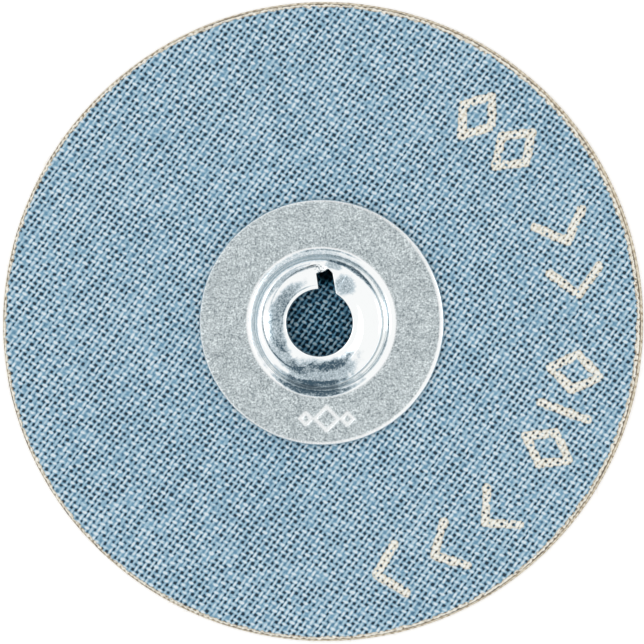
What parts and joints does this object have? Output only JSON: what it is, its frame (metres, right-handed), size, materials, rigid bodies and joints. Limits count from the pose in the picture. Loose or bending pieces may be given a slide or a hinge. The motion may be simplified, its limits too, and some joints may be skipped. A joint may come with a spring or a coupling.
{
  "type": "quick-change abrasive disc",
  "caption": "Round cloth-backed abrasive disc with a pressed steel turn-on hub, domed, with a keyhole and a one-turn thread lip.",
  "frame": {"origin": "on the spin axis, in the plane of the working face that the disc lies on", "axes": "+Z along the spin axis from the grit side out of the hub; +Y towards the notch beside the hub's hole"},
  "size_m": [0.05, 0.05, 0.0042],
  "materials": {
    "hub_steel": "bright zinc plate, matt on the flange and polished on the dome",
    "adhesive": "cured hot-melt and epoxy, dull brown",
    "rear_cloth": "open plain weave, pale blue resin finish",
    "abrasive_cloth": "cream cotton weave, resin filled",
    "resin": "thin cured phenolic resin",
    "grain": "fine dark silicon carbide grit",
    "print_ink": "flat cream printing ink"
  },
  "bodies": {
    "root": {"mounting_hub": "hub_steel", "hub_adhesive": "adhesive", "rear_cloth": "rear_cloth", "printed_marking": "print_ink", "laminating_adhesive": "adhesive", "abrasive_cloth": "abrasive_cloth", "make_coat": "resin", "abrasive_grain": "grain", "size_coat": "resin"}
  },
  "joints": []
}
